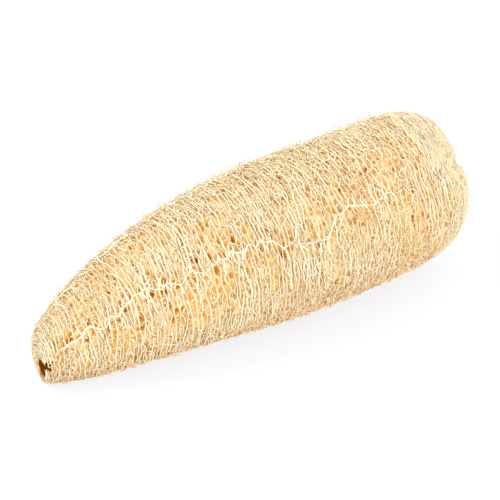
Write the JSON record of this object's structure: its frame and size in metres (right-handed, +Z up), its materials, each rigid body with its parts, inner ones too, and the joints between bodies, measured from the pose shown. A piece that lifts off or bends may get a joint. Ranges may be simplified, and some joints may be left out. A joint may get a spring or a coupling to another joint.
{
  "type": "natural loofah sponge",
  "caption": "Whole dried loofah: a tapered body of net-like plant fibre with a ragged seed-canal mouth at the slim tip, lying on its side, used for scrubbing.",
  "frame": {"origin": "on the surface that the loofah lies on, under the middle of its bounding box", "axes": "+X along the body from the slim tip to the thick crown, +Z up, +Y completes a right-handed frame"},
  "size_m": [0.3022, 0.1068, 0.1069],
  "materials": {
    "loofah_fibre": "dry matt plant fibre, cream on the strands and golden in the pores"
  },
  "bodies": {
    "root": {"loofah_sponge": "loofah_fibre"}
  },
  "joints": []
}
